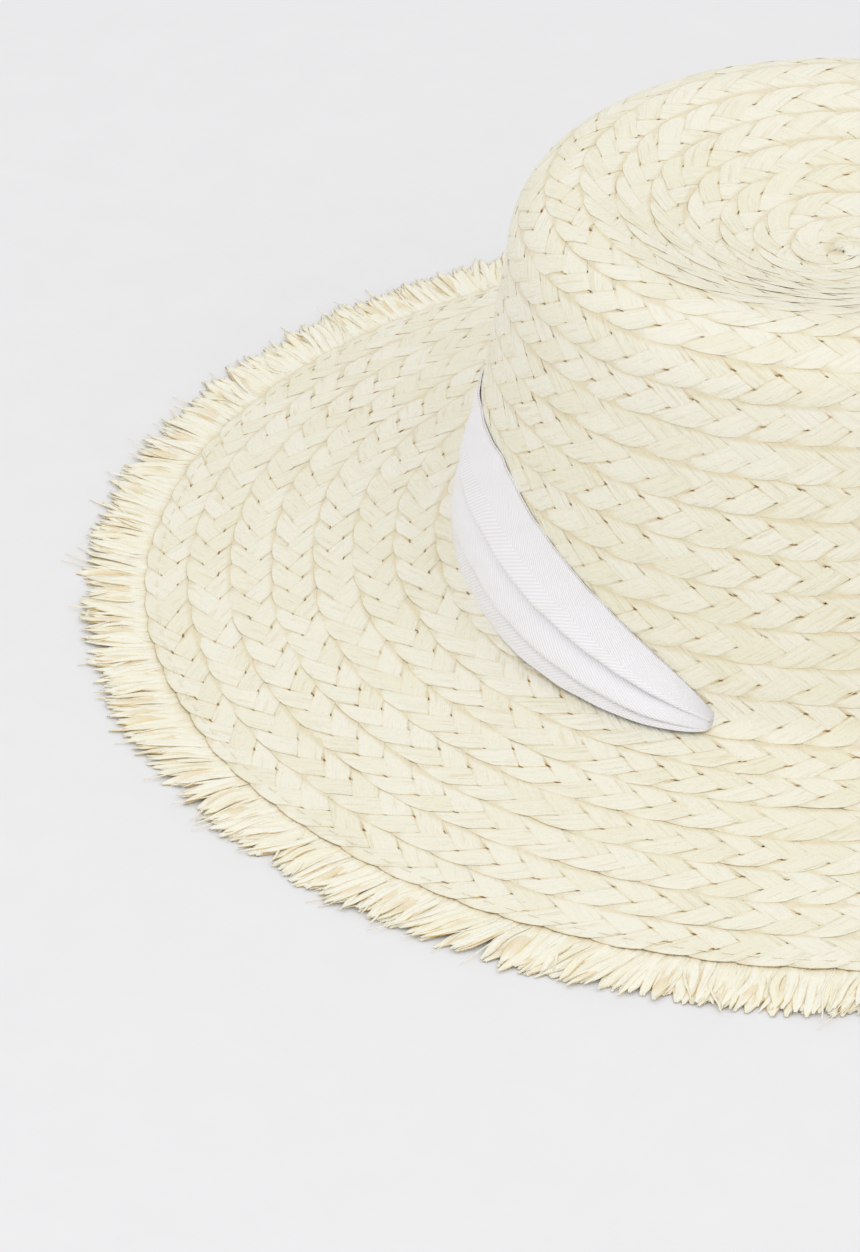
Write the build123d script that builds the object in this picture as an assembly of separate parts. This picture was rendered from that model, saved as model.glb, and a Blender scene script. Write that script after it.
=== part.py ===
from build123d import *
import math
import os

# Straw sun hat: flat-topped crown and wide brim, sewn from one flat plaited straw braid,
# with a frayed straw fringe, a cotton tape across the front of the crown and a sweatband.
# Millimetres. +Z is up and the hat stands on its brim. -Y is the front, +X the wearer's left.
# The origin is the middle of the underside. Each round of the braid's spiral is one ring.

# Crown and brim, on the outside of the straw
FOOT_RADIUS = 95.0         # crown wall where it meets the brim
FOOT_HEIGHT = 15.2
EDGE_RADIUS = 173.5        # outer edge of the last round of braid
EDGE_HEIGHT = 2.2          # one round of braid over the fringe's header
RIM_CORNER_RADIUS = 79.0   # where the wall and the tip would meet without the rounding
RIM_CORNER_HEIGHT = 120.6
RIM_ROUNDING = 17.5
FOOT_ROUNDING = 6.0
DISH_RADIUS = 17.0         # flat middle of the sagging tip
DISH_HEIGHT = 97.8
TIP_HEIGHT = 97.0
DISH_ROUNDING = 60.0

# Braid: each round laps over the inner margin of the next one
BRAID_THICKNESS = 1.0
BRAID_GAP = 0.06           # air between two lapped rounds
TIP_ROUNDS = 9
WALL_ROUNDS = 10
BRIM_ROUNDS = 8
TIP_SPACING = 1.0          # spacing of the rounds, relative to the tip's
WALL_SPACING = 1.045
BRIM_SPACING = 1.085
STEPS = 4                  # a round's spacing in steps; it also laps one step of the round before

# Fringe: a header under the last round, and frayed ends beyond it
HEADER_RADIUS = 164.0
HEADER_THICKNESS = 1.0
FRINGE_ROOT = 174.0
FRINGE_LENGTH = 14.5
FRINGE_THICKNESS = 3.0

# Cotton tape, 40 mm wide, from slot to slot across the front of the crown
TAPE_WIDTH = 40.0
TAPE_THICKNESS = 0.8
TAPE_CLEARANCE = 0.3
TAPE_LOWER_EDGE = 18.2
TAPE_END_WIDTH = 3.0       # gathered width at the slot
TAPE_START_ANGLE = -4.5    # degrees from a slot's middle, towards the front
TAPE_FULL_ANGLE = 46.0     # where the tape has spread to its full width
TAPE_SPREAD_POWER = 1.8    # above 1 the tape spreads fastest beside the slot
TAPE_POINTS = 8
TAPE_SHELL_MARGIN = 1.0    # the cone that the tape is cut from, past both its edges

# Slots at the foot of the crown, left unsewn for the tape
SLOT_LENGTH = 17.0
SLOT_BOTTOM = 15.0
SLOT_TOP = 19.4
SLOT_INSIDE = 84.0
SLOT_OUTSIDE = 99.0
THROAT_CLEARANCE = 0.8
TAB_TOP = 34.0

# Sweatband: cylindrical at the head opening, leaning in above it
BAND_RADIUS = 89.5
BAND_THICKNESS = 0.8
BAND_BOTTOM = 12.6
BAND_STRAIGHT_TOP = 21.6
BAND_TOP = 44.0
BAND_TOP_RADIUS = 84.6
BAND_SEAM_GAP = 1.2
SEAM_TAPE_WIDTH = 12.0
SEAM_TAPE_THICKNESS = 0.3
SEAM_TAPE_INSET = 1.0      # its lower end, above the band's

# Thread
THREAD_RADIUS = 0.15
THREAD_CLEARANCE = 0.05
STITCH_LENGTH = 3.0
BAND_STITCHES = 96
SEAM_SKIP = 3              # stitches left out over the sweatband's own seam
BAND_STITCH_HEIGHT = 15.0
HEADER_STITCHES = 180
HEADER_STITCH_INSET = 3.0
TACK_LENGTH = 5.0
TACK_SPACING = 3.0
TACKS = 3


def outside_line():
    """Half outline of the straw's outside, from the middle of the tip to the brim's edge."""
    return FilletPolyline(
        (0, 0, TIP_HEIGHT),
        (DISH_RADIUS, 0, DISH_HEIGHT),
        (RIM_CORNER_RADIUS, 0, RIM_CORNER_HEIGHT),
        (FOOT_RADIUS, 0, FOOT_HEIGHT),
        (EDGE_RADIUS, 0, EDGE_HEIGHT),
        radius=(DISH_ROUNDING, RIM_ROUNDING, FOOT_ROUNDING),
    )


def ring(points):
    """A closed solid turned about Z from an outline in the XZ plane."""
    outline = Polyline(*[(p.X, 0, p.Z) for p in points], close=True)
    return revolve(make_face(outline), Axis.Z)


def lapped_outline(line, stations):
    """Outline of one round: its outer edge on top, its inner margin sunk under its neighbour."""
    fall = (BRAID_THICKNESS + BRAID_GAP) / STEPS
    top = []
    bottom = []
    for i, station in enumerate(stations):
        place = line.position_at(station, position_mode=PositionMode.LENGTH)
        along = line.tangent_at(station, position_mode=PositionMode.LENGTH)
        outward = Vector(-along.Z, 0, along.X)
        depth = (len(stations) - 1 - i) * fall
        top.append(place - outward * depth)
        bottom.append(place - outward * (depth + BRAID_THICKNESS))
    if stations[0] == 0:
        top[0] = Vector(0, 0, top[0].Z)
        bottom[0] = Vector(0, 0, bottom[0].Z)
    return top + bottom[::-1]


def round_names():
    names = [f"tip_round_{i + 1:02d}" for i in range(TIP_ROUNDS)]
    names += [f"wall_round_{i + 1:02d}" for i in range(WALL_ROUNDS)]
    names += [f"brim_round_{i + 1:02d}" for i in range(BRIM_ROUNDS)]
    return names


def station_list(length):
    """Distances along the outline, four to a round, from the middle of the tip to the edge."""
    spacings = [TIP_SPACING] * TIP_ROUNDS
    spacings += [WALL_SPACING] * WALL_ROUNDS
    spacings += [BRIM_SPACING] * BRIM_ROUNDS
    unit = length / (sum(spacings) * STEPS)
    stations = [0.0]
    for spacing in spacings:
        stations += [stations[-1] + (i + 1) * spacing * unit for i in range(STEPS)]
    return stations


def slots():
    """The two openings at the foot of the crown, one over each ear."""
    length = SLOT_OUTSIDE - SLOT_INSIDE
    cutter = Box(length, SLOT_LENGTH, SLOT_TOP - SLOT_BOTTOM)
    middle = (SLOT_INSIDE + length / 2, 0, (SLOT_BOTTOM + SLOT_TOP) / 2)
    left = Pos(*middle) * cutter
    return [left, mirror(left, Plane.YZ)]


def braid_rounds():
    line = outside_line()
    stations = station_list(line.length)
    rounds = {}
    for i, name in enumerate(round_names()):
        first = max(i * STEPS - 1, 0)
        last = (i + 1) * STEPS
        body = ring(lapped_outline(line, stations[first:last + 1]))
        if body.bounding_box().max.Z > SLOT_BOTTOM and body.bounding_box().min.Z < SLOT_TOP:
            for slot in slots():
                body = body - slot
        rounds[name] = body
    return rounds


def fringe():
    """A flat header sewn under the last round, with the frayed ends standing out beyond it."""
    outline = Polyline(
        (HEADER_RADIUS, 0, 0),
        (FRINGE_ROOT + FRINGE_LENGTH, 0, 0),
        (FRINGE_ROOT + FRINGE_LENGTH, 0, FRINGE_THICKNESS),
        (FRINGE_ROOT, 0, FRINGE_THICKNESS),
        (FRINGE_ROOT, 0, HEADER_THICKNESS),
        (HEADER_RADIUS, 0, HEADER_THICKNESS),
        close=True,
    )
    return revolve(make_face(outline), Axis.Z)


def wall_radius(height):
    """Radius of the crown wall's outside at a height above its rounded foot."""
    taper = (FOOT_RADIUS - RIM_CORNER_RADIUS) / (RIM_CORNER_HEIGHT - FOOT_HEIGHT)
    return FOOT_RADIUS - taper * (height - FOOT_HEIGHT)


def cone_shell(low, high, outset, thickness):
    """A band that follows the crown wall's slope, outset from its outside."""
    inner_low = wall_radius(low) + outset
    inner_high = wall_radius(high) + outset
    outline = Polyline(
        (inner_low, 0, low),
        (inner_low + thickness, 0, low),
        (inner_high + thickness, 0, high),
        (inner_high, 0, high),
        close=True,
    )
    return revolve(make_face(outline), Axis.Z)


def tape_side():
    """The left half of the outer tape: full width at the front, gathered at the slot."""
    turn = TAPE_FULL_ANGLE - TAPE_START_ANGLE
    lower = []
    upper = []
    for i in range(TAPE_POINTS + 1):
        share = i / TAPE_POINTS
        spread = TAPE_END_WIDTH + (TAPE_WIDTH - TAPE_END_WIDTH) * share
        angle = TAPE_START_ANGLE + turn * share ** TAPE_SPREAD_POWER
        y = -FOOT_RADIUS * math.sin(math.radians(angle))
        lower.append((0, y, TAPE_LOWER_EDGE))
        upper.append((0, y, TAPE_LOWER_EDGE + spread))
    lower.append((0, -SLOT_OUTSIDE, TAPE_LOWER_EDGE))
    upper.append((0, -SLOT_OUTSIDE, TAPE_LOWER_EDGE + TAPE_WIDTH))
    outline = Polyline(*(lower + upper[::-1]), close=True)
    left_side = extrude(make_face(outline), amount=SLOT_OUTSIDE, dir=(1, 0, 0))
    top = TAPE_LOWER_EDGE + TAPE_WIDTH
    bottom = TAPE_LOWER_EDGE - TAPE_SHELL_MARGIN
    shell = cone_shell(bottom, top + TAPE_SHELL_MARGIN, TAPE_CLEARANCE, TAPE_THICKNESS)
    return shell & left_side


def tape_end():
    """One gathered end: through the slot, then flat against the inside of the wall."""
    width = SLOT_LENGTH - 2 * THROAT_CLEARANCE
    low = SLOT_BOTTOM + THROAT_CLEARANCE
    high = SLOT_TOP - THROAT_CLEARANCE
    straw = 2 * BRAID_THICKNESS + BRAID_GAP + TAPE_CLEARANCE
    outside = wall_radius(low) + TAPE_CLEARANCE + TAPE_THICKNESS
    inside = wall_radius(high) - straw - TAPE_CLEARANCE - TAPE_THICKNESS
    throat = Pos((outside + inside) / 2, 0, (low + high) / 2) * Box(outside - inside, width, high - low)
    behind = cone_shell(low, TAB_TOP, -straw - TAPE_CLEARANCE - TAPE_THICKNESS, TAPE_THICKNESS)
    window = Pos(FOOT_RADIUS, 0, (low + TAB_TOP) / 2) * Box(FOOT_RADIUS, width, TAB_TOP - low)
    return throat + (behind & window)


def cotton_tape():
    left = tape_side() + tape_end()
    return left + mirror(left, Plane.YZ)


def sweatband():
    """Woven band inside the crown, with its two ends meeting at the back."""
    outline = Polyline(
        (BAND_RADIUS, 0, BAND_BOTTOM),
        (BAND_RADIUS + BAND_THICKNESS, 0, BAND_BOTTOM),
        (BAND_RADIUS + BAND_THICKNESS, 0, BAND_STRAIGHT_TOP),
        (BAND_TOP_RADIUS + BAND_THICKNESS, 0, BAND_TOP),
        (BAND_TOP_RADIUS, 0, BAND_TOP),
        (BAND_RADIUS, 0, BAND_STRAIGHT_TOP),
        close=True,
    )
    gap = Pos(0, BAND_RADIUS, (BAND_BOTTOM + BAND_TOP) / 2) * Box(BAND_SEAM_GAP, FOOT_RADIUS, BAND_TOP)
    return revolve(make_face(outline), Axis.Z) - gap


def sweatband_seam_tape():
    """Short tape behind the place where the sweatband's ends meet."""
    lean = BAND_RADIUS - BAND_TOP_RADIUS
    outline = Polyline(
        (BAND_RADIUS - SEAM_TAPE_THICKNESS, 0, BAND_BOTTOM + SEAM_TAPE_INSET),
        (BAND_RADIUS, 0, BAND_BOTTOM + SEAM_TAPE_INSET),
        (BAND_RADIUS, 0, BAND_STRAIGHT_TOP),
        (BAND_RADIUS - lean, 0, BAND_TOP),
        (BAND_RADIUS - lean - SEAM_TAPE_THICKNESS, 0, BAND_TOP),
        (BAND_RADIUS - SEAM_TAPE_THICKNESS, 0, BAND_STRAIGHT_TOP),
        close=True,
    )
    window = Pos(0, BAND_RADIUS, BAND_TOP / 2) * Box(SEAM_TAPE_WIDTH, FOOT_RADIUS, BAND_TOP * 2)
    return revolve(make_face(outline), Axis.Z) & window


def stitches_round(count, radius, height, skip=0):
    """Short thread stitches lying along a circle, with some left out at the back."""
    stitch = Rot(90, 0, 0) * Cylinder(THREAD_RADIUS, STITCH_LENGTH)
    turn = 360 / count
    back = 90 + skip * turn / 2
    places = [Rot(0, 0, back + (i + 0.5) * turn) for i in range(count - skip)]
    return Compound([place * Pos(radius, 0, height) * stitch for place in places])


def sweatband_stitching():
    """Stitches on the sweatband's face near its lower edge, clear of the seam at the back."""
    radius = BAND_RADIUS - THREAD_RADIUS - THREAD_CLEARANCE
    return stitches_round(BAND_STITCHES, radius, BAND_STITCH_HEIGHT, SEAM_SKIP)


def fringe_stitching():
    """Stitches over the last round of braid, above the fringe's header."""
    slope = (FOOT_HEIGHT - EDGE_HEIGHT) / (EDGE_RADIUS - FOOT_RADIUS)
    height = EDGE_HEIGHT + slope * HEADER_STITCH_INSET + THREAD_RADIUS + THREAD_CLEARANCE
    return stitches_round(HEADER_STITCHES, EDGE_RADIUS - HEADER_STITCH_INSET, height)


def tape_tacks():
    """Bar tacks that hold each end of the tape to the inside of the wall."""
    low = TAB_TOP - TACK_SPACING * TACKS
    straw = 2 * BRAID_THICKNESS + BRAID_GAP + TAPE_CLEARANCE
    bars = []
    for i in range(TACKS):
        height = low + TACK_SPACING * i
        radius = wall_radius(height) - straw - TAPE_CLEARANCE - TAPE_THICKNESS - THREAD_CLEARANCE
        bar = Pos(radius - THREAD_RADIUS, 0, height) * Rot(90, 0, 0) * Cylinder(THREAD_RADIUS, TACK_LENGTH)
        bars.append(bar)
        bars.append(mirror(bar, Plane.YZ))
    return Compound(bars)


def main():
    pieces = braid_rounds()
    pieces["fringe"] = fringe()
    pieces["cotton_tape"] = cotton_tape()
    pieces["sweatband"] = sweatband()
    pieces["sweatband_seam_tape"] = sweatband_seam_tape()
    pieces["sweatband_stitching"] = sweatband_stitching()
    pieces["fringe_stitching"] = fringe_stitching()
    pieces["tape_tacks"] = tape_tacks()
    os.makedirs("parts", exist_ok=True)
    for name, shape in pieces.items():
        export_step(shape, f"parts/{name}.step")


main()
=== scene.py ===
import math

import bpy
import numpy as np
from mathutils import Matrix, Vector


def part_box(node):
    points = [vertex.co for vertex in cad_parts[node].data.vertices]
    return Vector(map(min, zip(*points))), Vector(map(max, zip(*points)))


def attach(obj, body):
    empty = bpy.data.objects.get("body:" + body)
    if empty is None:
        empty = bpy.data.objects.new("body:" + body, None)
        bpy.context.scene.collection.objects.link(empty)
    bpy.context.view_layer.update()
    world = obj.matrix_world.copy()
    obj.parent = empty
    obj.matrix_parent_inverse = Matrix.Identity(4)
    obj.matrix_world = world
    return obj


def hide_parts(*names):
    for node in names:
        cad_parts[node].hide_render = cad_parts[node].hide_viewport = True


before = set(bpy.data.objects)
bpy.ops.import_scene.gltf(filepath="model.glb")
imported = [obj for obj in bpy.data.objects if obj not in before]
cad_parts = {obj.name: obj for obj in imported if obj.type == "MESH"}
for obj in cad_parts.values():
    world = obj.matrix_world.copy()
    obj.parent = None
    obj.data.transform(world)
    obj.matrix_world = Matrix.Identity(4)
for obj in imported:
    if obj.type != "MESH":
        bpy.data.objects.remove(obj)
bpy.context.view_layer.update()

# Straw sun hat. Lengths are in mm until a mesh is made, and MM turns them into metres.
# +Z is up, -Y is the hat's front, and the hat stands on the floor at z = 0.
MM = 0.001
SEED = 11

# Outside line of the straw as (radius, height), from the tip's middle to the brim's edge,
# and the radii that round its inner corners
OUTLINE = ((0.0, 97.0), (17.0, 97.8), (79.0, 120.6), (95.0, 15.2), (173.5, 2.2))
ROUNDINGS = (60.0, 17.5, 6.0)
CORNER_SAMPLES = 24
OUTLINE_STEP = 0.25
PAST_EDGE = 6.0                # how far the line is carried on past the brim's edge

# The spiral of braid. Each part of the hat: its name, its rounds and their relative spacing
ROUND_GROUPS = (("tip", 9, 1.0), ("wall", 10, 1.045), ("brim", 8, 1.085))
SPIRAL_START = math.pi / 2     # the spiral's rounds begin at the hat's back
TURN_SAMPLES = 360
PAST_MIDDLE = 1.5              # how far the first round may reach past the tip's middle
FIRST_TURN = 0.45              # where the braid's end is tucked in, in turns
FIRST_RISE = 0.25              # turns in which it comes up from there
FIRST_DEPTH = 0.6
JOG = 0.13                     # share of a turn in which a brim round steps outwards
LAP_FALL = 0.19                # how far a round sinks under the one before it
LENGTH_LINE = (0.4, 4.0)       # where its length is measured: this many spacings in from its
                               # edge, and at least this far from the tip's middle
EDGE_SWAY = 0.34               # how far the braid wanders sideways,
SWAY_PERIODS = (31, 47, 83, 140)
EDGE_RISE = 0.05               # and up and down
RISE_PERIODS = (23, 39, 71)

# Three-strand flat plait. A leg is a strand's run from one margin to the other
STRAND_PERIOD = 34.5           # length of braid in which a strand runs two legs
STRAND_SAMPLES = 28            # rings of points in that length
STRAND_SLANT = 1.17            # length of strand in a length of braid
BRAID_WIDTH = 1.36             # in spacings of the rounds
HALF_BRAID = 5.5
INNER_STRETCH = 0.0525         # its strands spread a little more towards the inner margin
STRAND_THICKNESS = 0.10
STRAND_CROWN = 0.015           # how far a strand's middle stands over its edges
WEAVE_HEIGHT = 0.07            # how far a strand goes up and down over the others
WEAVE_FLATNESS = 1.3
EDGE_SCALLOP = 0.65            # how far a strand's folds are rounded at the margins
EDGE_SINK = 0.15               # how far the outer margin is pressed into the next round
STRAND_COVER = (1.03, 0.90)    # how much of its share a strand fills, full and slack
STRAND_SHIFT = 0.015           # how uneven the legs are: across the strand,
STRAND_LIFT = (-0.015, 0.02)   # in height,
STRAND_REACH = (0.93, 1.04)    # in how near to the margins they fold
STRAND_CREEP = 0.9             # and along the braid
CREEP_PERIODS = (57, 91, 150)
STRAND_RIPPLE = 0.02
RIPPLE_PERIODS = (7, 11, 17)
SECTION = (-1.0, -0.94, -0.6, 0.0, 0.6, 0.94, 1.0)

# The same strands as the straw's colours see them
LEG_LENGTH = 21.0
STRAND_WIDTH = 6.6
CLOTH_HALF_WIDTH = 2.7
CLOTH_STRAND_STEP = 11

# Fringe. Each layer: its name, number of strips, their widths, its level, how far its tufts
# close up and the share of strips that stray out past the others
FRINGE_LAYERS = (
    ("fringe_lower", 460, (2.8, 4.2), 0.30, 0.15, 0.0),
    ("fringe_middle", 640, (1.8, 3.3), 0.50, 0.5, 0.004),
    ("fringe_upper", 760, (1.5, 3.3), 0.72, 0.8, 0.006),
    ("fringe_wisps", 420, (0.35, 0.9), 0.90, 0.6, 0.3),
)
FRINGE_ROOT_HEIGHT = 1.05
FRINGE_ROOT_DEPTH = 9.0        # how far the strips reach in under the last round
LEVEL_STEP = (0.7, 0.6)        # height of a layer per level, at the roots and at the tips
LOWEST_TIP = 0.35
TUFT_SPACING = 4.6
TUFT_SCATTER = 0.2             # in tufts
TUFT_PULL = (0.4, 1.0)
FRINGE_LEAN = (-0.24, 0.20, 0.07)    # its mean, slow change and scatter
FRINGE_UNEVEN = (0.07, 0.06)   # slow change and scatter of the strips' length
STRAY_REACH = (1.5, 6)
STRIP_STATIONS = 10
STRIP_SECTION = (-1.0, -0.55, 0.0, 0.55, 1.0, 0.55, 0.0, -0.55)
STRIP_SIDES = (0, 1, 1, 1, 0, -1, -1, -1)    # 1 on a strip's upper side, -1 on its lower
STRIP_HALF_THICKNESS = 0.08
STRIP_ARCH = 0.12
STRIP_TAPER = 0.75

# Cotton tape
TAPE_CUT_WIDTH = 48.0
TAPE_SHOWN_WIDTH = 40.0
TAPE_THICKNESS = 0.5
TAPE_START_ANGLE = -4.0        # degrees from a slot's middle, towards the front
TAPE_FULL_ANGLE = 46.0         # where it has reached its full width
TAPE_SPREAD = 0.66             # power by which it spreads between those angles
TAPE_END_WIDTH = 0.8
TAPE_TUCK_ANGLE = 1.1          # degrees in which its end dives into the slot
TAPE_TUCK_DEPTH = 1.4
TAPE_OVER_BRIM = 5.4           # how far its lower edge stands out over the brim
TAPE_SAMPLES = (150, 66)       # along half of it and across it
TWILL_BAND = 0.0117            # in metres: its ribs turn back at this spacing
TWILL_RIB = 0.00105            # in metres

# Camera: direction to it from the crown's axis, its distance in metres, turn and lens
VIEW_AZIMUTH = 110.0
VIEW_ELEVATION = 31.1
VIEW_DISTANCE = 1.737
VIEW_PAN = 3.91
VIEW_TILT = -0.82
LENS = 197.9

# Lamps: name, azimuth from the camera's, elevation, distance, size and power
LAMPS = (("key", 30, 55, 2.2, 2.2, 9), ("fill", -50, 50, 2.4, 2.2, 5))
SKY_COLOUR = (1.0, 0.995, 0.99, 1.0)
SKY_STRENGTH = 0.84
FLOOR_HALF_SIZE = 3.0


# ---------------------------------------------------------------- meshes

def make_piece(name, points, faces, material, uv, attributes=None):
    """A mesh object from points in mm and arrays of faces, each array of one face size.

    Straw has attributes for its colours and its painted shade, and its edges and folds are kept crisp."""
    mesh = bpy.data.meshes.new(name)
    sizes = np.concatenate([np.full(len(f), f.shape[1]) for f in faces])
    corners = np.concatenate([f.ravel() for f in faces])
    mesh.vertices.add(len(points))
    mesh.vertices.foreach_set("co", (points * MM).astype(np.float32).ravel())
    mesh.loops.add(len(corners))
    mesh.loops.foreach_set("vertex_index", corners.astype(np.int32))
    mesh.polygons.add(len(sizes))
    mesh.polygons.foreach_set("loop_start", (np.cumsum(sizes) - sizes).astype(np.int32))
    mesh.update(calc_edges=True)
    for key, values in (attributes or {}).items():
        layer = mesh.attributes.new(key, "FLOAT", "POINT")
        layer.data.foreach_set("value", values.astype(np.float32))
    layer = mesh.uv_layers.new(name="cloth")
    layer.data.foreach_set("uv", (uv[corners] * MM).astype(np.float32).ravel())
    mesh.validate()
    mesh.shade_smooth()
    if attributes:
        crease_edges(mesh, np.maximum(attributes["edge"], np.abs(attributes["cross"])) > 0.999)
    mesh.materials.append(material)
    piece = bpy.data.objects.new(name, mesh)
    bpy.context.scene.collection.objects.link(piece)
    return piece


def crease_edges(mesh, at_edge):
    """Marks the mesh edges that join two of these points as sharp.

    A strip is then lit evenly right up to its long edges and its folds."""
    ends = np.zeros(2 * len(mesh.edges), np.int32)
    mesh.edges.foreach_get("vertices", ends)
    sharp = at_edge[ends].reshape(-1, 2).all(axis=1)
    layer = mesh.attributes.new("sharp_edge", "BOOLEAN", "EDGE")
    layer.data.foreach_set("value", sharp)


def tube_faces(rings, around, first=0):
    """Faces of a closed tube of rings of points, with its two end caps."""
    ring = np.arange(rings - 1)[:, None] * around
    j = np.arange(around)[None, :]
    k = (j + 1) % around
    sides = np.stack([ring + j, ring + k, ring + around + k, ring + around + j], axis=-1)
    start = np.arange(around)[::-1]
    end = np.arange(around) + (rings - 1) * around
    return sides.reshape(-1, 4) + first, np.stack([start, end]) + first


def thick_sheet(grid, thickness):
    """Points and faces of a closed sheet of a given thickness, from a grid of its middle."""
    rows, columns = grid.shape[:2]
    along = np.gradient(grid, axis=0)
    across = np.gradient(grid, axis=1)
    normal = np.cross(along, across)
    normal /= np.linalg.norm(normal, axis=2, keepdims=True)
    front = (grid + normal * thickness / 2).reshape(-1, 3)
    back = (grid - normal * thickness / 2).reshape(-1, 3)
    index = np.arange(rows * columns).reshape(rows, columns)
    cells = [index[:-1, :-1], index[1:, :-1], index[1:, 1:], index[:-1, 1:]]
    face = np.stack(cells, axis=-1).reshape(-1, 4)
    rim = np.concatenate([index[0, :-1], index[:-1, -1], index[-1, :0:-1], index[:0:-1, 0]])
    following = np.roll(rim, -1)
    count = rows * columns
    edge = np.stack([rim, following, following + count, rim + count], axis=-1)
    return np.concatenate([front, back]), [face, face[:, ::-1] + count, edge[:, ::-1]]


# ---------------------------------------------------------------- outline and spiral

def rounded_line(corners, radii):
    """Close points along a line whose inner corners are rounded."""
    corners = np.array(corners)
    points = [corners[0]]
    for before, corner, after, radius in zip(corners, corners[1:], corners[2:], radii):
        into = (corner - before) / np.linalg.norm(corner - before)
        out = (after - corner) / np.linalg.norm(after - corner)
        turn = math.acos(into @ out)
        side = np.sign(into[0] * out[1] - into[1] * out[0])
        spoke = side * radius * np.array([-into[1], into[0]])
        centre = corner - into * radius * math.tan(turn / 2) + spoke
        for angle in np.linspace(0, side * turn, CORNER_SAMPLES):
            c, s = math.cos(angle), math.sin(angle)
            turned = np.array([c * spoke[0] - s * spoke[1], s * spoke[0] + c * spoke[1]])
            points.append(centre - turned)
    points.append(corners[-1])
    return np.array(points)


class Outline:
    """The straw's outside line, as functions of the distance along it."""

    def __init__(self):
        points = rounded_line(OUTLINE, ROUNDINGS)
        steps = np.linalg.norm(np.diff(points, axis=0), axis=1)
        self.length = steps.sum()
        last = (points[-1] - points[-2]) / steps[-1]
        points = np.vstack([points, points[-1] + last * PAST_EDGE])
        station = np.concatenate([[0], np.cumsum(steps), [self.length + PAST_EDGE]])
        self.station = np.arange(0, self.length + PAST_EDGE, OUTLINE_STEP)
        line = [np.interp(self.station, station, points[:, k]) for k in (0, 1)]
        self.line = np.stack(line, axis=1)
        along = np.gradient(self.line, axis=0)
        along /= np.linalg.norm(along, axis=1, keepdims=True)
        self.normal = np.stack([-along[:, 1], along[:, 0]], axis=1)

    def at(self, station, values):
        """The line's values, such as its points or normals, at a distance along it."""
        return np.stack([np.interp(station, self.station, values[:, k]) for k in (0, 1)], axis=-1)

    def place(self, station, angle, height):
        """Points at a height over the outline, turned about Z by an angle."""
        flat = self.at(station, self.line) + self.at(station, self.normal) * height[..., None]
        radius = np.maximum(flat[..., 0], 0.0)
        return np.stack([radius * np.cos(angle), radius * np.sin(angle), flat[..., 1]], axis=-1)


def smooth(x):
    """0 up to x = 0, 1 from x = 1 on, and an even curve between them."""
    x = np.clip(x, 0, 1)
    return x * x * (3 - 2 * x)


def waves(x, periods, seed):
    """Smooth noise of about unit size: a sum of sine waves with fixed random phases."""
    rng = np.random.default_rng(seed)
    total = sum(np.sin(2 * np.pi * (x / p + rng.random())) for p in periods)
    return total / math.sqrt(len(periods))


class Spiral:
    """The path of the braid's outer edge, turn by turn from the middle of the tip."""

    def __init__(self, outline):
        self.outline = outline
        spacing = np.concatenate([np.full(count, size) for _, count, size in ROUND_GROUPS])
        groups = [(part, i) for part, count, _ in ROUND_GROUPS for i in range(count)]
        self.names = [f"{part}_round_{i + 1:02d}" for part, i in groups]
        self.turns = len(spacing)
        spacing = spacing * outline.length / spacing.sum()
        edges = np.concatenate([[0], np.cumsum(spacing)])
        brim = ROUND_GROUPS[2][1]
        stepped = np.clip((np.arange(self.turns) - (self.turns - brim) + 1) / brim, 0, 1)
        self.turn = np.linspace(0, self.turns + JOG, int((self.turns + JOG) * TURN_SAMPLES) + 1)
        k = np.minimum(self.turn.astype(int), self.turns - 1)
        x = self.turn - k
        drift = (1 - stepped[k]) * x + stepped[k] * smooth(x / JOG)
        self.edge = edges[k] + spacing[k] * np.minimum(drift, 1)
        self.spacing = spacing[k]
        before = np.interp(self.turn - 1, self.turn, self.edge)
        self.cover = np.where(self.turn < 1, self.spacing, self.edge - before)
        share, nearest = LENGTH_LINE
        measured = np.maximum(self.edge - share * self.spacing, nearest)
        radius = outline.at(measured, outline.line)[:, 0]
        step = np.diff(self.turn) * 2 * np.pi * (radius[1:] + radius[:-1]) / 2
        self.run = np.concatenate([[0], np.cumsum(step)])

    def place(self, run, x, height):
        """Points of the braid: x runs from its inner edge, -1, to its outer edge, 1.

        Also says where the round before it covers it, from 0 to 1, where the straw's colour paints shade."""
        turn = np.interp(run, self.run, self.turn)
        edge = np.interp(run, self.run, self.edge)
        spacing = np.interp(run, self.run, self.spacing)
        cover = np.maximum(np.interp(run, self.run, self.cover), 0)
        width = np.minimum(spacing * BRAID_WIDTH, edge + PAST_MIDDLE)
        share = (0.5 - 2 * INNER_STRETCH / BRAID_WIDTH) * (1 - x)
        share = share + INNER_STRETCH / BRAID_WIDTH * (1 - x) ** 2
        inward = width * share
        tail = turn > self.turns
        sunk = np.where(tail, (spacing - cover) / spacing, 0)
        fall = LAP_FALL * (sunk + inward / np.where(tail, spacing, np.maximum(cover, spacing * 0.8)))
        # The last two rounds wander less, so that the brim's edge stays round
        calm = 1 - 0.55 * smooth(turn - self.turns + 2)
        sway = EDGE_SWAY * calm * waves(run, SWAY_PERIODS, SEED)
        tucked = smooth((FIRST_TURN + FIRST_RISE - turn) / FIRST_RISE)
        rise = EDGE_RISE * waves(run, RISE_PERIODS, SEED + 1) - FIRST_DEPTH * tucked
        station = np.maximum(edge - inward + sway, 0.15)
        points = self.outline.place(station, SPIRAL_START - 2 * np.pi * turn, height - fall + rise)
        return points, smooth((inward - cover + 0.4) / 0.5)


# ---------------------------------------------------------------- plaited rounds

def triangle(u):
    """A wave of straight runs: 1 at whole numbers, -1 halfway between them."""
    return 1 - 4 * np.abs(u - np.floor(u + 0.5))


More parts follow.
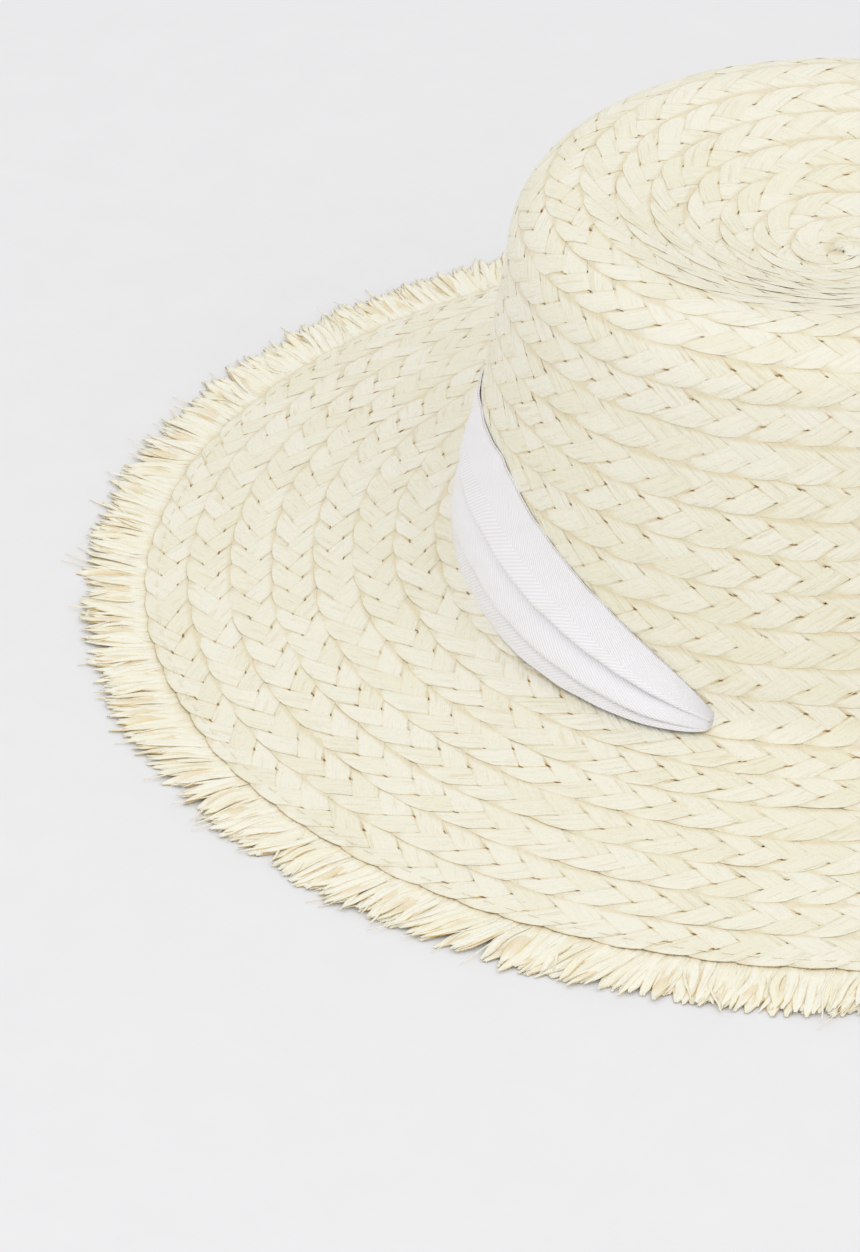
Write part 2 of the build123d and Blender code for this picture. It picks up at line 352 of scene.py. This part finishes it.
def strand(spiral, number, first, last):
    """Points, attributes for colour and painted shade, and cloth places of one strand between two samples.
    """
    step = np.arange(first, last + 1)
    u = (step / STRAND_SAMPLES)[:, None]
    leg = np.floor(2 * u).astype(int)
    table = np.random.default_rng(SEED + 100 + number)
    legs = int(spiral.run[-1] / STRAND_PERIOD * 2) + 12
    tone = table.uniform(-1, 1, legs)
    full, slack = STRAND_COVER
    cover = full + (slack - full) * table.random(legs) ** 2.2
    shift = table.uniform(-STRAND_SHIFT, STRAND_SHIFT, legs)
    shade_strength = table.uniform(0.0, 1.0, legs)
    lift = table.uniform(*STRAND_LIFT, legs)
    reach = table.uniform(*STRAND_REACH, legs)
    along = 2 * u - leg
    later = leg + 1
    blend = smooth((along - 0.8) / 0.2)

    def varied(values):
        """A leg's value, which passes into the next leg's over the last fifth of the leg."""
        return values[leg] * (1 - blend) + values[later] * blend

    top = np.array(SECTION)
    across = np.concatenate([top, top[-2:0:-1]])[None, :]
    upper = np.concatenate([np.ones(len(top)), -np.ones(len(top) - 2)])[None, :]
    body = 1 - 0.9 * across ** 6
    t = across / 2 * varied(cover) + varied(shift)
    run = STRAND_PERIOD * (u - number / 3 - t / 3)
    run = run + STRAND_CREEP * waves(run, CREEP_PERIODS, SEED + 4)
    weave = -np.sin(4 * np.pi * (u - t / 6))
    weave = np.tanh(WEAVE_FLATNESS * weave) / math.tanh(WEAVE_FLATNESS)
    height = WEAVE_HEIGHT * weave - WEAVE_HEIGHT - STRAND_THICKNESS / 2
    height = height + STRAND_CROWN * (1 - across ** 2) + upper * body * STRAND_THICKNESS / 2
    ripple = waves(run + 50 * number, RIPPLE_PERIODS, SEED + 3)
    height = height + varied(lift) + STRAND_RIPPLE * ripple
    x = triangle(u) * (1 - EDGE_SCALLOP / HALF_BRAID * across ** 2) * varied(reach)
    height = height - EDGE_SINK * smooth((x - 0.80) / 0.2)
    points, margin_shade = spiral.place(np.maximum(run, 1.0), x, height)
    cloth_along = u * (STRAND_PERIOD * STRAND_SLANT) + 0 * across
    cloth_across = across * CLOTH_HALF_WIDTH + CLOTH_STRAND_STEP * number + 0 * u
    uv = np.stack([cloth_along, cloth_across], axis=-1)
    # Attributes for the colour: the random tone and the distance across the strand; and for the painted
    # shade: how deep the strand dips under the others, its place between corner and fold, a random
    # strength for each leg and how far the round before covers it
    attributes = {
        "tone": (varied(tone) + 0 * across).ravel(),
        "edge": (np.abs(across) + 0 * u).ravel(),
        "low": ((1 - weave) / 2 + 0 * u).ravel(),
        "cross": (triangle(u) + 0 * across).ravel(),
        "shade_strength": (varied(shade_strength) + 0 * across).ravel(),
        "margin_shade": (0.5 * margin_shade + 0 * across).ravel(),
    }
    return points.reshape(-1, 3), attributes, uv.reshape(-1, 2)


def plaited_round(spiral, index, material):
    """One round of the braid, from its place in the spiral to the next round's."""
    name = spiral.names[index]
    start = max(index, FIRST_TURN)
    end = spiral.turns + JOG if index == spiral.turns - 1 else index + 1
    runs = np.interp([start, end], spiral.turn, spiral.run)
    around = 2 * len(SECTION) - 2
    points, quads, caps, uvs, values = [], [], [], [], []
    count = 0
    for number in range(3):
        first, last = (int(round((r / STRAND_PERIOD + number / 3) * STRAND_SAMPLES)) for r in runs)
        strand_points, attributes, uv = strand(spiral, number, first, last)
        sides, ends = tube_faces(last - first + 1, around, count)
        count += len(strand_points)
        points.append(strand_points)
        quads.append(sides)
        caps.append(ends)
        uvs.append(uv)
        values.append(attributes)
    joined = {key: np.concatenate([v[key] for v in values]) for key in values[0]}
    faces = [np.concatenate(quads), np.concatenate(caps)]
    points, uv = np.concatenate(points), np.concatenate(uvs)
    piece = make_piece("straw_" + name, points, faces, material, uv, joined)
    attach(piece, "root")
    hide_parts(name)


# ---------------------------------------------------------------- fringe

def fringe_layer(name, count, widths, level, gather_share, stray, material, seed):
    """One layer of loose flat straw ends round the brim, drawn together in tufts."""
    rng = np.random.default_rng(seed)
    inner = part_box("brim_round_08")[1][0] / MM
    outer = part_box("fringe")[1][0] / MM
    length = outer - inner
    angle = (np.arange(count) + rng.uniform(-0.5, 0.5, count)) / count * 2 * np.pi
    tufts = int(2 * np.pi * inner / TUFT_SPACING)
    nearest = np.round(angle / (2 * np.pi) * tufts + rng.normal(0, TUFT_SCATTER, count))
    centre = nearest / tufts * 2 * np.pi
    pull = rng.uniform(*TUFT_PULL, count) * gather_share
    around = angle * inner
    mean, change, scatter = FRINGE_LEAN
    lean = mean + change * waves(around, (31, 53, 97), SEED + 60) + rng.normal(0, scatter, count)
    change, scatter = FRINGE_UNEVEN
    uneven = 1.0 + change * waves(around, (9, 19, 41), seed + 2) + rng.normal(0, scatter, count)
    reach = length * uneven
    reach = reach + (rng.random(count) < stray) * rng.uniform(*STRAY_REACH, count)
    width = rng.uniform(*widths, count)
    bend = rng.normal(0, 0.5 + 3 * stray, count)
    root_step, tip_step = LEVEL_STEP
    top = FRINGE_ROOT_HEIGHT + root_step * level + rng.uniform(-0.12, 0.12, count)
    tip = np.maximum(LOWEST_TIP, level * tip_step + rng.uniform(-0.5, 0.9, count))
    hump = rng.uniform(0.0, 0.6, count)
    twist = rng.normal(0, 0.22, count)

    stations = np.linspace(0, 1, STRIP_STATIONS)[None, :, None]
    section = np.array(STRIP_SECTION)[None, None, :]
    upper = np.array(STRIP_SIDES)[None, None, :]

    def each(values):
        """Values of the strips, ready to be spread over their stations and sections."""
        return values[:, None, None]

    out = -FRINGE_ROOT_DEPTH + (each(reach) + FRINGE_ROOT_DEPTH) * stations
    free = np.clip(out / each(reach), 0, 1)
    radius = inner + out
    gather = each(pull * (centre - angle)) * inner * free ** 1.5
    side = gather + each(lean) * np.maximum(out, 0) + each(bend) * np.sin(free * math.pi * 1.4)
    half = each(width) / 2 * (1 - STRIP_TAPER * free ** 6)
    roll = each(twist) * free
    x = side + section * half * np.cos(roll)
    arch = STRIP_ARCH * (1 - section ** 2) * each(width) / 2
    middle = each(top) * (1 - free) + each(tip) * free + each(hump) * np.sin(free * math.pi) ** 2
    z = middle + section * half * np.sin(roll) + arch + STRIP_HALF_THICKNESS * upper
    z = np.maximum(z, 0.06 + 0.05 * (upper > 0))
    turn = each(angle) + x / inner
    points = np.stack([radius * np.cos(turn), radius * np.sin(turn), z], axis=-1)

    rings, ring = stations.shape[1], section.shape[2]
    sides, ends = tube_faces(rings, ring)
    offset = (np.arange(count) * rings * ring)[:, None, None]
    faces = [(sides[None] + offset).reshape(-1, 4), (ends[None] + offset).reshape(-1, ring)]
    shape = np.zeros((count, rings, ring))
    # Painted shade: the lower layers lie in the shade of the others, so their upper sides are painted
    # golden, but not at the roots or the tips
    deep = np.clip(1.2 - 1.3 * level - 0.45 * (z - middle), 0, 1)
    # The strips' edges are painted with golden shade, stronger towards the tips, and so are their roots
    # under the last round; a place of a third puts every strip at a plait's corner, so its edge shade runs
    # its whole length
    attributes = {
        "tone": (shape + each(rng.uniform(-1, 1, count))).ravel(),
        "edge": (shape + 1.12 * np.abs(section)).ravel(),
        "low": (shape + deep * smooth(3 * free) * (1 - free ** 8) * (upper >= 0)).ravel(),
        "cross": (shape + 1 / 3).ravel(),
        "shade_strength": (shape + 0.45 + 0.5 * free).ravel(),
        "margin_shade": (shape + np.clip(0.6 - free * 20, 0, 1)).ravel(),
    }
    uv = np.stack([shape + out, shape + section * half + each(angle) * inner], axis=-1)
    points, uv = points.reshape(-1, 3), uv.reshape(-1, 2)
    piece = make_piece(name, points, faces, material, uv, attributes)
    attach(piece, "root")
    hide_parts("fringe")


# ---------------------------------------------------------------- cotton tape

def wall_radius(height):
    """Radius of the crown wall's outside."""
    (high_radius, high), (low_radius, low) = OUTLINE[2], OUTLINE[3]
    return low_radius + (high_radius - low_radius) * (height - low) / (high - low)


def tape_section(top, bottom, out_low, fullness, cut):
    """Heights and outsets across the tape, from its upper edge down over two soft pleats."""
    shown = top - bottom
    first = 0.50 * shown
    second = (0.78 + 0.05 * (1 - shown / TAPE_SHOWN_WIDTH)) * shown
    tuck = min((cut - shown) / 4, 0.42 * (second - first))
    bulge = 0.4 + 1.9 * fullness
    under = 0.30
    keys = [
        (0, 0.12),
        (first * 0.30, 0.32 + 0.15 * bulge),
        (first * 0.75, 0.45 + 0.75 * bulge),
        (first - 0.4, 0.5 + bulge),
        (first + 0.2, 0.4 + 0.7 * bulge),
        (first - tuck, under),
        (first + tuck * 0.3, under + 0.15),
        ((first + second) / 2, 0.5 + 0.85 * bulge),
        (second - 0.3, 0.4 + 1.15 * bulge),
        (second + 0.3, 0.3 + 0.8 * bulge),
        (second - tuck, under),
        (second + tuck * 0.3, under + 0.1),
        ((second + shown) / 2, 0.5 + 0.3 * bulge),
        (shown, 0.45),
    ]
    curve = []
    for down, outset in keys:
        lean = out_low * max(down / shown, 0) ** 1.6
        curve.append((top - down, outset + lean))
    return np.array(curve)


def resample(keys, count):
    """Evenly spaced points along the line through the keys, with its corners smoothed."""
    fine = np.linspace(0, len(keys) - 1, 12 * len(keys))
    curve = np.stack([np.interp(fine, np.arange(len(keys)), keys[:, k]) for k in (0, 1)], axis=1)
    for _ in range(10):
        curve[1:-1] = (curve[:-2] + 2 * curve[1:-1] + curve[2:]) / 4
    length = np.concatenate([[0], np.cumsum(np.linalg.norm(np.diff(curve, axis=0), axis=1))])
    even = np.linspace(0, length[-1], count)
    return np.stack([np.interp(even, length, curve[:, k]) for k in (0, 1)], axis=1)


def cotton_tape(material):
    """The tape across the front of the crown, gathered into a slot over each ear."""
    half, rows = TAPE_SAMPLES
    near = TAPE_START_ANGLE + (90 - TAPE_START_ANGLE) * np.linspace(0, 1, half) ** 1.6
    angles = np.concatenate([near, 180 - near[-2::-1]])
    brim_slope = (OUTLINE[3][1] - OUTLINE[4][1]) / (OUTLINE[4][0] - OUTLINE[3][0])
    foot_radius, foot = OUTLINE[3]
    grid = np.zeros((len(angles), rows, 3))
    uv = np.zeros((len(angles), rows, 2))
    for i, degrees in enumerate(angles):
        from_slot = min(degrees, 180 - degrees)
        share = np.clip((from_slot - TAPE_START_ANGLE) / (TAPE_FULL_ANGLE - TAPE_START_ANGLE), 0, 1)
        out_low = TAPE_OVER_BRIM * math.sin(math.pi * share ** 0.45)
        bottom = foot + 0.8 - brim_slope * out_low
        spread = (TAPE_SHOWN_WIDTH - TAPE_END_WIDTH) * share ** TAPE_SPREAD
        top = bottom + TAPE_END_WIDTH + spread
        far = smooth((from_slot - 35) / 60)
        fullness = min(1.0, 5.0 * share) * (1 - 0.8 * far)
        cut = top - bottom + (TAPE_CUT_WIDTH - TAPE_SHOWN_WIDTH) * (1 - 0.7 * far)
        curve = resample(tape_section(top, bottom, out_low, fullness, cut), rows)
        arc = math.radians(degrees) * foot_radius
        flutter = 0.15 * waves(arc + curve[:, 0] * 1.7, (13, 21, 34), SEED + 5)
        flutter = flutter * min(1.0, 3 * share)
        tucked = smooth((TAPE_START_ANGLE + TAPE_TUCK_ANGLE - from_slot) / TAPE_TUCK_ANGLE)
        outset = (curve[:, 1] + flutter) * (1 - tucked) - TAPE_TUCK_DEPTH * tucked
        radius = wall_radius(curve[:, 0]) + outset + 0.2
        angle = -math.radians(degrees)
        grid[i] = np.stack([radius * math.cos(angle), radius * math.sin(angle), curve[:, 0]], axis=1)
        uv[i, :, 0] = arc
        uv[i, :, 1] = np.linspace(0, TAPE_CUT_WIDTH, rows)
    points, faces = thick_sheet(grid, TAPE_THICKNESS)
    flat_uv = np.concatenate([uv.reshape(-1, 2)] * 2)
    piece = make_piece("front_tape", points, faces, material, flat_uv)
    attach(piece, "root")
    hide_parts("cotton_tape")


def tape_tab(side, material):
    """One end of the tape inside the crown, turned up from the slot against the wall."""
    low, top = 17.2, 34.0
    inset = 3.0
    width = 14.0
    curve_radius = 90
    keys = [
        (wall_radius(low) - 0.3, low),
        (wall_radius(low) - inset, low + 0.6),
        (wall_radius(top) - inset, top),
    ]
    path = resample(np.array(keys), 24)
    across = np.linspace(-width / 2, width / 2, 17)
    ripple = 0.12 * waves(across, (5, 9), SEED + 8)
    grid = np.zeros((len(path), len(across), 3))
    grid[..., 0] = side * (path[:, 0, None] - across ** 2 / (2 * curve_radius) + ripple)
    grid[..., 1] = across
    grid[..., 2] = path[:, 1, None]
    points, faces = thick_sheet(grid, TAPE_THICKNESS)
    length = np.linalg.norm(np.diff(path, axis=0), axis=1).sum()
    v, u = np.meshgrid(np.linspace(0, length, len(path)), across, indexing="ij")
    cloth = np.stack([v, u + TAPE_CUT_WIDTH / 2], axis=-1)
    flat_uv = np.concatenate([cloth.reshape(-1, 2)] * 2)
    name = "tape_tab_left" if side > 0 else "tape_tab_right"
    piece = make_piece(name, points, faces, material, flat_uv)
    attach(piece, "root")


# ---------------------------------------------------------------- sweatband

def band_sheet(name, node, keys, angles, thickness, wave, material):
    """A band round the inside of the crown, from the line of its section and its angles."""
    path = resample(np.array(keys), 22)
    grid = np.zeros((len(angles), len(path), 3))
    uv = np.zeros((len(angles), len(path), 2))
    middle = path[:, 0].mean()
    width = np.linalg.norm(np.diff(path, axis=0), axis=1).sum()
    loose = np.linspace(0, 1, len(path)) ** 2
    for i, angle in enumerate(angles):
        radius = path[:, 0] + wave * loose * waves(angle * middle, (29, 43, 67), SEED + 9)
        grid[i] = np.stack([radius * math.cos(angle), radius * math.sin(angle), path[:, 1]], axis=1)
        uv[i, :, 0] = angle * middle
        uv[i, :, 1] = np.linspace(0, width, len(path))
    points, faces = thick_sheet(grid, thickness)
    flat_uv = np.concatenate([uv.reshape(-1, 2)] * 2)
    piece = make_piece(name, points, faces, material, flat_uv)
    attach(piece, "root")
    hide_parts(node)


def inner_band(material, tape_material):
    """The sweatband round the head opening, and the short tape over its joint at the back."""
    low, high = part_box("sweatband")
    outside = high[0] / MM
    bottom, top = low[2] / MM, high[2] / MM
    thickness = 0.8
    straight = bottom + 9.0
    lean = 4.9
    middle = outside - thickness / 2
    keys = [(middle, bottom), (middle, straight), (middle - lean, top)]
    gap = 0.6 / middle
    angles = np.linspace(math.pi / 2 + gap, math.pi * 2.5 - gap, 420)
    band_sheet("inner_sweatband", "sweatband", keys, angles, thickness, 0.35, material)
    low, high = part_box("sweatband_seam_tape")
    half = high[0] / MM / middle
    tape_thickness = 0.3
    face = outside - thickness - 0.15
    keys = [(face, low[2] / MM), (face, straight), (face - lean, top)]
    angles = np.linspace(math.pi / 2 - half, math.pi / 2 + half, 25)
    band_sheet(
        "band_seam_tape", "sweatband_seam_tape", keys, angles, tape_thickness, 0.0, tape_material
    )


# ---------------------------------------------------------------- materials

def srgb(red, green, blue):
    """A colour given as it looks on screen, 0 to 255, in the linear values that nodes use."""
    parts = []
    for value in (red, green, blue):
        value = value / 255
        parts.append(value / 12.92 if value <= 0.04045 else ((value + 0.055) / 1.055) ** 2.4)
    return (*parts, 1.0)


class Material:
    """A material's node tree, with short ways to add and join nodes."""

    def __init__(self, name):
        self.material = bpy.data.materials.new(name)
        self.material.use_nodes = True
        self.tree = self.material.node_tree
        self.shader = self.tree.nodes["Principled BSDF"]

    def add(self, kind, **inputs):
        node = self.tree.nodes.new("ShaderNode" + kind)
        for key, value in inputs.items():
            self.feed(node, key.replace("_", " "), value)
        return node

    def feed(self, node, key, value):
        socket = node.inputs[int(key)] if key.isdigit() else node.inputs[key]
        if isinstance(value, bpy.types.NodeSocket):
            self.tree.links.new(value, socket)
        else:
            socket.default_value = value

    def attribute(self, name):
        node = self.add("Attribute")
        node.attribute_name = name
        return node.outputs["Fac"]

    def cloth_uv(self):
        node = self.add("UVMap")
        node.uv_map = "cloth"
        return node.outputs["UV"]

    def cloth_place(self, scale):
        """Place on the cloth, in features to a metre along it and across it."""
        return self.add("Mapping", Vector=self.cloth_uv(), Scale=scale).outputs["Vector"]

    def noise(self, place, scale, detail=3.0, roughness=0.55):
        node = self.add("TexNoise", Vector=place, Scale=scale, Detail=detail, Roughness=roughness)
        return node.outputs["Fac"]

    def calc(self, operation, first, second=0.0):
        node = self.add("Math")
        node.operation = operation
        self.feed(node, "0", first)
        self.feed(node, "1", second)
        return node.outputs["Value"]

    def spread(self, value, low, high, to_low=0.0, to_high=1.0):
        """A value turned smoothly from one range into another, and held at its ends."""
        node = self.add("MapRange", Value=value)
        node.interpolation_type = "SMOOTHSTEP"
        for key, number in zip(("From Min", "From Max", "To Min", "To Max"), (low, high, to_low, to_high)):
            node.inputs[key].default_value = number
        return node.outputs["Result"]

    def mix(self, share, first, second):
        node = self.add("Mix")
        node.data_type = "RGBA"
        self.feed(node, "0", share)
        self.feed(node, "6", first)
        self.feed(node, "7", second)
        return node.outputs[2]

    def bump(self, height, distance, under=None):
        node = self.add("Bump", Height=height, Distance=distance)
        if under is not None:
            self.feed(node, "Normal", under)
        return node.outputs["Normal"]

    def finish(self, colour, roughness, normal, **settings):
        self.feed(self.shader, "Base Color", colour)
        self.feed(self.shader, "Roughness", roughness)
        self.feed(self.shader, "Normal", normal)
        for key, value in settings.items():
            self.shader.inputs[key.replace("_", " ")].default_value = value
        return self.material


def straw_material(name, light, deep, shade_gold, depth_shade_strength, hole_shade=None):
    """Flat straw with fine fibres and creases, with shade painted golden into its colour: in strokes along
    a strip's edges next to the plait's corners, in the depths where strands dip under others, at margins
    that the round before covers and along the folds at the braid's edges. The creases add a little golden
    tint of the straw's own. Where a brown for painted hole shade is given, some corners of the plait are
    painted dark, as the shade in small holes."""
    m = Material(name)
    position = m.add("TexCoord").outputs["Object"]
    fibre = m.noise(m.cloth_place((90.0, 2600.0, 1.0)), 1.0, 4.0)
    crease = m.noise(m.cloth_place((70.0, 800.0, 1.0)), 1.0, 2.0)
    blotch = m.noise(position, 160.0, 3.0)
    crumple = m.noise(position, 620.0, 3.0)
    tone = m.spread(m.attribute("tone"), -1.0, 1.0)
    share = m.calc("ADD", m.calc("MULTIPLY", fibre, 0.7), m.calc("MULTIPLY", tone, 0.3))
    colour = m.mix(m.spread(share, 0.30, 0.75), light, deep)

    # Distances in mm from a corner of the plait, which lies a third of the way to a margin
    edge, shade_strength, cross = m.attribute("edge"), m.attribute("shade_strength"), m.attribute("cross")
    from_corner = m.calc("SUBTRACT", m.calc("ABSOLUTE", cross), 1 / 3)
    along = m.calc("ABSOLUTE", m.calc("MULTIPLY", from_corner, LEG_LENGTH / 2))

    # Painted shade: golden strokes along a strand's edges next to the plait's corners, each leg at its own
    # random strength
    shade_stroke = m.calc("MULTIPLY", m.spread(along, 0.4, 4.2, 1.0, 0.22), m.spread(edge, 0.80, 0.98))
    shade_stroke = m.calc("MULTIPLY", shade_stroke, shade_strength)
    shade_stroke = m.calc("MULTIPLY", shade_stroke, m.spread(blotch, 0.30, 0.70, 0.5, 1.0))
    # Painted shade, golden, where a strand dips under the others
    low = m.calc("MULTIPLY", m.spread(m.attribute("low"), 0.40, 0.95), depth_shade_strength)
    # Painted shade, golden, along the folds at the braid's edges and where the round before covers it
    fold_shade = m.spread(cross, 0.945, 0.995)
    margin_shade = m.calc("MULTIPLY", m.calc("MAXIMUM", m.attribute("margin_shade"), fold_shade), 0.62)
    # The golden painted shade is the strongest of these
    painted_shade_and_tint = m.calc("MAXIMUM", shade_stroke, m.calc("MAXIMUM", low, margin_shade))
    # A little golden tint of the straw's own where its creases rise
    painted_shade_and_tint = m.calc("MAXIMUM", painted_shade_and_tint, m.spread(crease, 0.60, 0.70, 0.0, 0.22))
    colour = m.mix(painted_shade_and_tint, colour, shade_gold)

    # Painted shade of small holes: some corners of the plait are painted dark brown
    if hole_shade:
        inside = m.calc("MULTIPLY", m.calc("SUBTRACT", 1.0, edge), STRAND_WIDTH / 2)
        squares = m.calc("ADD", m.calc("POWER", along, 2.0), m.calc("POWER", inside, 2.0))
        near = m.spread(m.calc("SQRT", squares), 0.28, 0.75, 1.0, 0.0)
        colour = m.mix(m.calc("MULTIPLY", near, m.spread(shade_strength, 0.30, 1.0)), colour, hole_shade)

    roughness = m.spread(fibre, 0.3, 0.7, 0.42, 0.62)
    normal = m.bump(crumple, 0.00035)
    normal = m.bump(crease, 0.00060, normal)
    normal = m.bump(fibre, 0.00012, normal)
    return m.finish(colour, roughness, normal, Specular_IOR_Level=0.4)


def tape_material():
    """White herringbone cotton: slanting ribs that turn back every few millimetres."""
    m = Material("cotton_twill")
    parts = m.add("SeparateXYZ", Vector=m.cloth_uv())
    along, across = parts.outputs["X"], parts.outputs["Y"]
    bent = m.calc("PINGPONG", across, TWILL_BAND)
    slant = m.calc("ADD", m.calc("MULTIPLY", along, 0.8), bent)
    rib = m.calc("SINE", m.calc("MULTIPLY", slant, 2 * math.pi / TWILL_RIB))
    thread = m.noise(m.cloth_place((2600.0, 1500.0, 1.0)), 1.0, 2.0)
    rib = m.calc("ADD", m.calc("MULTIPLY", rib, 0.5), m.calc("MULTIPLY", thread, 0.6))
    colour = m.mix(m.spread(rib, -0.4, 0.9), srgb(240, 238, 243), srgb(252, 251, 254))
    normal = m.bump(rib, 0.00010)
    roughness = m.spread(thread, 0.2, 0.8, 0.8, 0.95)
    return m.finish(colour, roughness, normal, Specular_IOR_Level=0.2, Sheen_Weight=0.15)


def ribbed_material(name, light, deep, pitch):
    """Ribbed band cloth, its ribs standing across the band at a pitch in metres."""
    m = Material(name)
    along = m.add("SeparateXYZ", Vector=m.cloth_uv()).outputs["X"]
    rib = m.calc("SINE", m.calc("MULTIPLY", along, 2 * math.pi / pitch))
    thread = m.noise(m.cloth_place((900.0, 3000.0, 1.0)), 1.0, 2.0)
    mixed = m.calc("ADD", m.calc("MULTIPLY", rib, 0.5), m.calc("MULTIPLY", thread, 0.7))
    colour = m.mix(m.spread(mixed, -0.3, 1.0), deep, light)
    normal = m.bump(mixed, 0.00015)
    roughness = m.spread(thread, 0.2, 0.8, 0.75, 0.92)
    return m.finish(colour, roughness, normal, Specular_IOR_Level=0.25)


def thread_material():
    """Sewing thread the colour of the straw, with the twist of its plies."""
    m = Material("sewing_thread")
    position = m.add("TexCoord").outputs["Object"]
    ply = m.add("TexWave", Vector=position, Scale=900.0, Distortion=1.5).outputs["Fac"]
    fuzz = m.noise(position, 4000.0)
    colour = m.mix(m.spread(ply, 0.1, 0.9), srgb(238, 232, 210), srgb(249, 245, 230))
    normal = m.bump(m.calc("ADD", ply, m.calc("MULTIPLY", fuzz, 0.4)), 0.00004)
    return m.finish(colour, m.spread(fuzz, 0.3, 0.7, 0.5, 0.7), normal)


# ---------------------------------------------------------------- room

def direction(azimuth, elevation):
    """Unit vector from angles in degrees: azimuth 0 is the hat's front, -Y, and 90 is +X."""
    azimuth, elevation = math.radians(azimuth), math.radians(elevation)
    level = math.cos(elevation)
    return Vector((level * math.sin(azimuth), -level * math.cos(azimuth), math.sin(elevation)))


def photo_camera():
    """The camera, set off from the crown's foot and turned and tilted to frame the hat."""
    foot = Vector((0, 0, OUTLINE[3][1] * MM))
    camera = bpy.data.objects.new("camera", bpy.data.cameras.new("camera"))
    bpy.context.scene.collection.objects.link(camera)
    camera.location = foot + direction(VIEW_AZIMUTH, VIEW_ELEVATION) * VIEW_DISTANCE
    tilt = math.pi / 2 - math.radians(VIEW_ELEVATION) + math.radians(VIEW_TILT)
    camera.rotation_euler = (tilt, 0, math.radians(VIEW_AZIMUTH) + math.radians(VIEW_PAN))
    camera.data.lens = LENS
    camera.data.clip_end = 10
    bpy.context.scene.camera = camera


def soft_light(name, azimuth, elevation, distance, size, power):
    """A large soft lamp that faces the hat."""
    towards = direction(azimuth, elevation)
    light = bpy.data.objects.new(name, bpy.data.lights.new(name, "AREA"))
    bpy.context.scene.collection.objects.link(light)
    light.location = towards * distance
    light.rotation_euler = (-towards).to_track_quat("-Z", "Y").to_euler()
    light.data.size = size
    light.data.energy = power


def room():
    """A pale floor, an even pale sky and the lamps."""
    side = FLOOR_HALF_SIZE
    mesh = bpy.data.meshes.new("floor")
    corners = [(-side, -side, 0), (side, -side, 0), (side, side, 0), (-side, side, 0)]
    mesh.from_pydata(corners, [], [(0, 1, 2, 3)])
    floor = bpy.data.objects.new("floor", mesh)
    bpy.context.scene.collection.objects.link(floor)
    m = Material("pale_floor")
    speck = m.noise(m.add("TexCoord").outputs["Object"], 60.0)
    colour = m.mix(speck, srgb(234, 234, 236), srgb(238, 238, 240))
    normal = m.bump(speck, 0.0002)
    mesh.materials.append(m.finish(colour, 0.9, normal, Specular_IOR_Level=0.1))
    world = bpy.data.worlds.new("studio")
    world.use_nodes = True
    sky = world.node_tree.nodes["Background"]
    sky.inputs["Color"].default_value = SKY_COLOUR
    sky.inputs["Strength"].default_value = SKY_STRENGTH
    bpy.context.scene.world = world
    for name, azimuth, *rest in LAMPS:
        soft_light(name, VIEW_AZIMUTH + azimuth, *rest)
    bpy.context.scene.view_settings.view_transform = "Standard"


# ---------------------------------------------------------------- the hat

photo_camera()
room()
# Plaited straw: its shade painted golden in corner strokes, depths, folds and covered margins, and dark
# brown in some corner holes
braid = straw_material(
    "plaited_straw",
    light=srgb(244, 241, 226),
    deep=srgb(239, 235, 212),
    shade_gold=srgb(214, 182, 106),
    depth_shade_strength=0.25,
    hole_shade=srgb(126, 86, 34),
)
# Fringe straw: its shade painted golden on its lower layers, along its edges and at its roots
frayed = straw_material(
    "frayed_straw",
    light=srgb(250, 248, 234),
    deep=srgb(247, 243, 220),
    shade_gold=srgb(226, 190, 112),
    depth_shade_strength=0.7,
)
twill = tape_material()
band_cloth = ribbed_material("ribbed_band", srgb(236, 231, 214), srgb(214, 206, 182), 0.0011)
seam_cloth = ribbed_material("seam_ribbon", srgb(232, 226, 208), srgb(208, 199, 174), 0.0007)
thread = thread_material()

spiral = Spiral(Outline())
for index in range(spiral.turns):
    plaited_round(spiral, index, braid)
for i, layer in enumerate(FRINGE_LAYERS):
    fringe_layer(*layer, frayed, SEED + 20 + 5 * i)
cotton_tape(twill)
tape_tab(1, twill)
tape_tab(-1, twill)
inner_band(band_cloth, seam_cloth)
for node in ("sweatband_stitching", "fringe_stitching", "tape_tacks"):
    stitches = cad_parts[node]
    stitches.data.materials.clear()
    stitches.data.materials.append(thread)
